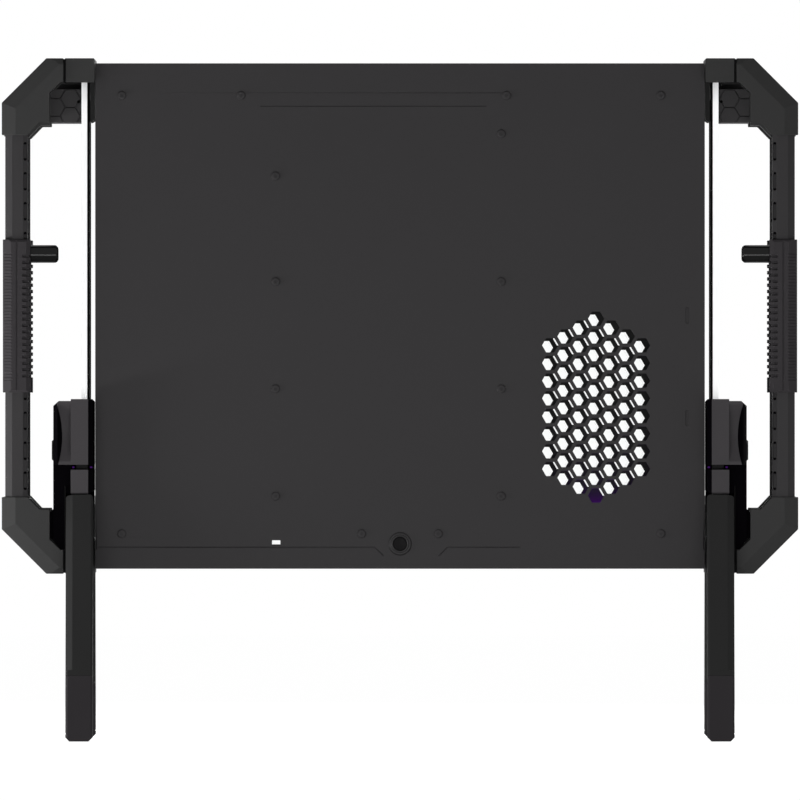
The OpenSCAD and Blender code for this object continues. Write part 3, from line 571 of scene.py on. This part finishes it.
class CASE_OT_side_frames(bpy.types.Operator):
    """Softens and coats the brackets, rails, bars and tie beams"""

    bl_idname = "case.side_frames"
    bl_label = "Side Frames"

    def execute(self, context):
        colours = context.scene.case_colours
        edges = context.scene.case_edges
        cast = coating("cast_coat", colours.casting, roughness=0.46, grain=1100.0,
                       depth=0.03 * MM)
        # The rails' slot ends get painted shade through the mask.
        rail = coating("rail_coat", colours.rail, roughness=0.46, grain=1100.0,
                       depth=0.03 * MM, shade=self.slot_end_shade)
        moulded = coating("moulded_black", colours.plastic, roughness=0.5, grain=1300.0,
                          depth=0.03 * MM)
        # The bars' ends get painted shade where they meet the brackets.
        bar = coating("bar_black", colours.casting, roughness=0.5, grain=1300.0,
                      depth=0.03 * MM, shade=self.bar_joint_shade)
        for corner in CORNERS:
            for level in ("upper", "lower"):
                soften(f"{level}_bracket_{corner}", edges.casting, cast)
            soften(f"rail_{corner}", edges.rail, rail)
        for side in SIDES:
            for level in ("top", "bottom"):
                soften(f"{level}_bar_{side}", edges.fine, bar)
            soften(f"honeycomb_tie_{side}", edges.fine, moulded)
        # Near-black fillers paint shade into the joints and the slits beside the hubs.
        self.seals()
        return {"FINISHED"}

    def bar_joint_shade(self, f):
        """Mask of painted shade on the bars' end faces, which stand close against the brackets."""
        return f.along("X").size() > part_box("top_bar_right")[1].x - 0.9 * MM

    def slot_end_shade(self, f):
        """Mask of painted shade in the deep corners at both ends of the rails' slots."""
        pitch, half_length, corner = 21.85 * MM, 6.75 * MM, 1.7 * MM
        bevel_w, bevel_d = 3.6 * MM, 2 * MM
        slot_low, slot_high = 0.7 * MM, 3.1 * MM
        low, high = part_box("rail_rear_left")
        across = f.along("X").size() + high.x
        depth = (high.y - low.y) / 2 - (f.along("Y").size() + (high.y + low.y) / 2).size()
        below = depth > bevel_d + 0.3 * MM - across * (bevel_d / bevel_w)
        row = (f.along("Z") - (low.z + high.z) / 2) * (1 / pitch)
        along = (row.fraction() - 0.5).size() * pitch
        ends = (along > half_length - corner) * (along < half_length + 0.2 * MM)
        return below * ends * (across > slot_low) * (across < slot_high)

    def seals(self):
        """Near-black rubber in the bars' joints, and pads that close the slits beside the hubs:
        painted shade where these gaps show only shadow.
        """
        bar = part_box("top_bar_right")[1]
        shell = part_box("upper_bracket_rear_right")
        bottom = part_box("lower_bracket_rear_right")[0].z
        bar_tall, overlap, seam, inset = 17.5 * MM, 0.2 * MM, 1.0 * MM, 0.7 * MM
        leg_w, pad_w, pad_top = 19.9 * MM, 0.7 * MM, 186 * MM
        low, high = bottom + bar_tall, bar.z - bar_tall
        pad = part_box("hub_rear_right")[0].x + leg_w
        buffer_near, buffer_far, buffer_tall = pad + 3.2 * MM, pad + 12 * MM, 10 * MM
        outlines = (
            self.upright(bar.x - overlap, bar.x + seam, high, bar.z - inset),
            self.upright(bar.x - overlap, bar.x + seam, bottom + inset, low),
            self.upright(pad, pad + pad_w, low, pad_top),
            ((buffer_near, low), (buffer_far, low), (buffer_far, low + buffer_tall)))
        rear, front = -shell[1].y, -shell[0].y - 1.2 * MM
        made = bmesh.new()
        for outline, turn_x, turn_y in itertools.product(outlines, (-1, 1), (-1, 1)):
            near = [made.verts.new((turn_x * x, turn_y * rear, z)) for x, z in outline]
            far = [made.verts.new((turn_x * x, turn_y * front, z)) for x, z in outline]
            made.faces.new(near)
            made.faces.new(reversed(far))
            for k in range(len(outline)):
                made.faces.new((near[k - 1], near[k], far[k], far[k - 1]))
        bmesh.ops.recalc_face_normals(made, faces=made.faces)
        bmesh.ops.bevel(made, geom=made.edges, offset=0.15 * MM, segments=2, profile=0.5,
                        affect="EDGES")
        add_piece("seals", closed(made, "seals"), rubber("shade_filler_rubber", grey(8)), CASE)

    def upright(self, x0, x1, z0, z1):
        """Corners of an upright rectangle."""
        return (x0, z0), (x1, z0), (x1, z1), (x0, z1)


class CASE_OT_grips(bpy.types.Operator):
    """Softens the rubber grips and polishes the hook pegs"""

    bl_idname = "case.grips"
    bl_label = "Grips and Pegs"

    def execute(self, context):
        colours = context.scene.case_colours
        edges = context.scene.case_edges
        grip = rubber("grip_rubber", colours.grip)
        peg = polished("peg_polish", colours.polish)
        for corner in CORNERS:
            soften(f"grip_{corner}", edges.fine, grip)
        for side in SIDES:
            soften(f"peg_{side}", edges.rail, peg)
        return {"FINISHED"}


class CASE_OT_legs(bpy.types.Operator):
    """Softens and coats the hubs, legs and foot caps"""

    bl_idname = "case.legs"
    bl_label = "Hubs and Legs"

    def execute(self, context):
        colours = context.scene.case_colours
        edges = context.scene.case_edges
        # The hub coat carries painted shade on its inner bevel, gap walls, cheek rim and the post
        # under the cheek.
        hub = coating("hub_coat", colours.hub, roughness=0.42, grain=1100.0,
                      depth=0.03 * MM, shade=self.hub_shade_mask)
        leg = coating("leg_coat", colours.leg, roughness=0.45, grain=1100.0, depth=0.03 * MM)
        foot = rubber("foot_rubber", colours.foot)
        for corner in CORNERS:
            body = f"leg_{corner}"
            soften(f"hub_{corner}", edges.fine, hub, sharp=30.0)
            soften(f"leg_{corner}", edges.casting, leg, body)
            soften(f"foot_{corner}", edges.rail, foot, body)
        # The hub strips' faint glow is painted light, not lamps of their own.
        self.strips(glowing_strip("hub_painted_glow", colours.glow, strength=0.07))
        return {"FINISHED"}

    def hub_shade_mask(self, f):
        """Mask of painted shade: the inner bevel, the gap's walls, the cheek's rim and the part
        under it turn nearly black.
        """
        bevel_end, block_end, rim = 227.5 * MM, 240.3 * MM, 246.5 * MM
        gap_low, gap_high = HUB_GAP - 0.2 * MM, HUB_GAP + 3.5 * MM
        cheek_middle, cheek_curve = 222 * MM, 7.0
        across, height = f.along("X").size(), f.along("Z")
        below = (across > block_end) * (height < HUB_GAP)
        within = (height > gap_low) * (height < gap_high)
        bend = height - cheek_middle
        band = (across > rim + bend * bend * cheek_curve) * (height > HUB_GAP)
        return below + within + band + (across < bevel_end)

    def strips(self, material):
        """Strips at both ends of the four hub gaps, whose faint violet glow is painted light
        standing in for the case's inner lamps.
        """
        size, rounding = (1.8 * MM, 5.0 * MM, 1.4 * MM), 0.5 * MM
        inset, above = 9 * MM, 1.65 * MM
        inner, outer = 1.3 * MM, 14.3 * MM
        low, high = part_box("hub_rear_left")
        made = bmesh.new()
        for turn_x, turn_y, end in itertools.product((-1, 1), (-1, 1), (inner, outer)):
            strip = bmesh.ops.create_cube(made, size=1.0)["verts"]
            bmesh.ops.scale(made, verts=strip, vec=size)
            place = (turn_x * (end - high.x), turn_y * (-low.y - inset), HUB_GAP + above)
            bmesh.ops.translate(made, verts=strip, vec=place)
        bmesh.ops.bevel(made, geom=made.edges, offset=rounding, segments=3, profile=0.5,
                        affect="EDGES")
        mesh = closed(made, "hub_light")
        for face in mesh.polygons:
            face.use_smooth = True
        add_piece("hub_light", mesh, material, CASE)


class CASE_OT_glass(bpy.types.Operator):
    """Gives the panes clear glass with ground edges that carry a painted glow, and their
    near-black borders
    """

    bl_idname = "case.glass"
    bl_label = "Glass"

    def execute(self, context):
        pane = glass("pane_glass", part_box("side_pane_left")[1].y)
        border = coating("border_black", grey(7), roughness=0.4, grain=900.0,
                         depth=0.01 * MM, specular=0.02)
        for side in SIDES:
            paint(f"side_pane_{side}", pane)
            paint(f"pane_border_{side}", border)
        paint("front_glass", glass("front_clear_glass", half_depth=1.0))
        return {"FINISHED"}


class CASE_OT_fasteners(bpy.types.Operator):
    """Sets domed screws with a cross recess, and coats the other fasteners"""

    bl_idname = "case.fasteners"
    bl_label = "Fasteners"

    def execute(self, context):
        colours = context.scene.case_colours
        oxide = coating("black_oxide", colours.fastener, roughness=0.5, grain=2500.0,
                        depth=0.01 * MM)
        head_coat = coating("head_coat", colours.steel, roughness=0.5, grain=2500.0,
                            depth=0.01 * MM)
        boxes = islands("cover_screws")
        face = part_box("rear_cover")[0].y
        places = [((low.x + high.x) / 2, face, (low.z + high.z) / 2) for low, high in boxes]
        screws = repeat("cover_screw_heads", places, self.screw(boxes[0], face), head_coat,
                        seed=11)
        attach(screws, CASE)
        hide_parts("cover_screws")
        for node in ("slot_screws", "frame_screws", "glass_caps", "glass_posts", "pivot_pins"):
            paint(node, oxide)
        return {"FINISHED"}

    def screw(self, box, face):
        """One screw with its head at the origin, facing -Y."""
        low, high = box
        head, tall, end = (high.x - low.x) / 2, face - low.y, high.y - face
        shank, flat = 1.48 * MM, 1.9 * MM
        arm, half, deep = 1.25 * MM, 0.3 * MM, 0.8 * MM
        profile = [(0, end), (shank, end), (shank, 0), (head, 0)]
        for lean in range(14, 71, 14):
            a = math.radians(lean)
            profile.append((flat + (head - flat) * math.cos(a), -tall * math.sin(a)))
        profile.append((flat, -tall))
        made = revolve(profile, 32)
        rim = [edge for edge in made.edges if edge.is_boundary]
        cross = []
        for k in range(4):
            turn = Matrix.Rotation(k * math.pi / 2, 3, "Y")
            for x, z in ((half, half), (arm, half), (arm, -half)):
                cross.append(made.verts.new(turn @ Vector((x, -tall, z))))
        loop = [made.edges.new((cross[k - 1], cross[k])) for k in range(12)]
        floor = [made.verts.new(vert.co + Vector((0, deep, 0))) for vert in cross]
        for k in range(12):
            made.faces.new((cross[k - 1], cross[k], floor[k], floor[k - 1]))
        made.faces.new(floor)
        bmesh.ops.triangle_fill(made, use_beauty=True, edges=rim + loop)
        bmesh.ops.recalc_face_normals(made, faces=made.faces)
        return smooth(made, "screw", 40)


class CASE_OT_button(bpy.types.Operator):
    """Turns and finishes the power button and its ring"""

    bl_idname = "case.button"
    bl_label = "Power Button"

    def execute(self, context):
        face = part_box("rear_cover")[0].y
        low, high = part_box("button_ring")
        middle = Vector(((low.x + high.x) / 2, face, (low.z + high.z) / 2))
        ring_satin = coating("ring_satin", grey(34, 1), roughness=0.4, grain=2200.0,
                             depth=0.01 * MM, specular=0.12)
        button_satin = coating("button_satin", grey(16, 1), roughness=0.5, grain=2200.0,
                               depth=0.01 * MM)
        self.turn("button_ring", self.ring((high.x - low.x) / 2, high.y - face), middle,
                  ring_satin, CASE)
        low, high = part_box("power_button")
        self.turn("power_button", self.cap((high.x - low.x) / 2, low.y - face, high.y - face),
                  middle, button_satin, "power_button")
        return {"FINISHED"}

    def ring(self, outer, end):
        """Profile of the ring: two rounded steps outside, and a bore for the button."""
        barrel, bore, floor = outer - 2.4 * MM, outer - 3.55 * MM, end - 1.5 * MM
        steps = ((0.05, 0), (0, 0.1), (0.5, 0.75), (0.9, 1.05), (1.2, 1.1), (1.75, 1.1),
                 (2.1, 1.55), (2.45, 1.78), (3.0, 1.78), (3.4, 1.6), (3.55, 1.35))
        return [(0, end), (barrel, end), (barrel, 0),
                *((outer - inset * MM, -height * MM) for inset, height in steps),
                (bore, floor), (0, floor)]

    def cap(self, radius, top, end):
        """Profile of the button: a round cap whose top is slightly hollow."""
        rim, hollow, steps = 0.35 * MM, 0.35 * MM, 8
        profile = [(0, end), (radius, end), (radius, top + rim),
                   (radius - 0.1 * MM, top + 0.1 * MM), (radius - rim, top)]
        for k in range(1, steps + 1):
            sunk = hollow * math.sin(k / steps * math.pi / 2)
            profile.append(((radius - rim) * (1 - k / steps), top + sunk))
        return profile

    def turn(self, node, profile, place, material, body):
        """Stands a turned piece in a CAD node's place."""
        made = revolve(profile, 64)
        bmesh.ops.translate(made, verts=made.verts, vec=place)
        name = node + "_turned"
        piece = add_piece(name, smooth(made, name, 35), material, body)
        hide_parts(node)


class CASE_OT_stage(bpy.types.Operator):
    """Sets the floor, the lamps and the camera"""

    bl_idname = "case.stage"
    bl_label = "Studio"

    def execute(self, context):
        studio = context.scene.case_studio
        scene = context.scene
        scene.view_settings.view_transform = "Standard"
        self.floor(studio)
        self.world(scene, studio.ambient)
        middle = (CAD_BOX[0] + CAD_BOX[1]) / 2
        self.lamp("Key", studio.key, (-0.95, -0.15, 0.03), middle, (0.5, 0.06))
        self.lamp("Fill", studio.fill, (-0.1, -1.3, 0.06), middle, (1.8, 0.12))
        self.lamp("Back", studio.back, (1.1, 2.0, 1.3), middle, (1.6, 1.6))
        self.camera(scene, studio)
        return {"FINISHED"}

    def floor(self, studio):
        """A pale floor that shows white where no shadow falls on it."""
        made = bmesh.new()
        bmesh.ops.create_grid(made, x_segments=1, y_segments=1, size=12.0)
        mesh = closed(made, "floor")
        f = Finish("floor_white")
        seen = f.node("ShaderNodeLightPath", out="Is Camera Ray")
        plain = f.node("ShaderNodeBsdfDiffuse", None, {"Color": (0.82, 0.82, 0.82, 1)})
        lift = f.node("ShaderNodeEmission", None, {
            "Color": (1, 1, 1, 1), "Strength": seen * studio.whiteness + studio.bounce})
        mesh.materials.append(f.close(f.node("ShaderNodeAddShader", None, {0: plain, 1: lift})))
        add_object("floor", mesh)

    def world(self, scene, ambient):
        """A dim surrounding light, shown as white to the camera, in glass and in gloss."""
        world = scene.world or bpy.data.worlds.new("studio")
        scene.world = world
        world.use_nodes = True
        n = Nodes(world.node_tree)
        camera = n.node("ShaderNodeLightPath", out="Is Camera Ray")
        through = camera.beside("Is Transmission Ray")
        mirrored = camera.beside("Is Glossy Ray")
        white = camera.larger(through).larger(mirrored)
        glow = n.node("ShaderNodeBackground", None, {
            "Color": (1, 1, 1, 1), "Strength": ambient + white * (1 - ambient)})
        n.node("ShaderNodeOutputWorld", None, {0: glow})

    def lamp(self, name, power, place, target, size):
        data = bpy.data.lights.new(name, "AREA")
        data.shape = "RECTANGLE"
        data.size, data.size_y = size
        data.energy = power
        lamp = add_object(name, data)
        lamp.location = place
        lamp.visible_camera = False
        lamp.rotation_euler = (target - Vector(place)).to_track_quat("-Z", "Y").to_euler()

    def camera(self, scene, studio):
        data = bpy.data.cameras.new("camera")
        data.sensor_width = 36.0
        data.lens = data.sensor_width * studio.distance / studio.framed
        data.clip_end = 10 * studio.distance
        camera = add_object("camera", data)
        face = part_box("rear_cover")[0].y
        camera.location = (0, face - studio.distance, studio.height)
        camera.rotation_euler = (math.pi / 2, 0, 0)
        scene.camera = camera


class CASE_PT_panel(bpy.types.Panel):
    """Lists the steps that finish the case"""

    bl_idname = "CASE_PT_panel"
    bl_label = "Computer Case"
    bl_space_type = "VIEW_3D"
    bl_region_type = "UI"
    bl_category = "Case"

    def draw(self, context):
        for step in STEPS:
            self.layout.operator(step.bl_idname)
        for group in (context.scene.case_colours, context.scene.case_edges,
                      context.scene.case_studio):
            box = self.layout.box()
            for name in group.bl_rna.properties.keys():
                if name not in ("rna_type", "name"):
                    box.prop(group, name)


STEPS = (
    CASE_OT_body, CASE_OT_side_frames, CASE_OT_grips, CASE_OT_legs, CASE_OT_glass,
    CASE_OT_fasteners, CASE_OT_button, CASE_OT_stage)
GROUPS = {"case_colours": CaseColours, "case_edges": CaseEdges, "case_studio": CaseStudio}


def register():
    for group in GROUPS.values():
        bpy.utils.register_class(group)
    for name, group in GROUPS.items():
        setattr(bpy.types.Scene, name, PointerProperty(type=group))
    for shown in (*STEPS, CASE_PT_panel):
        bpy.utils.register_class(shown)


def unregister():
    for shown in reversed((*STEPS, CASE_PT_panel)):
        bpy.utils.unregister_class(shown)
    for name, group in GROUPS.items():
        delattr(bpy.types.Scene, name)
        bpy.utils.unregister_class(group)


def main():
    register()
    for step in STEPS:
        area, action = step.bl_idname.split(".")
        getattr(getattr(bpy.ops, area), action)()


if __name__ == "__main__":
    main()
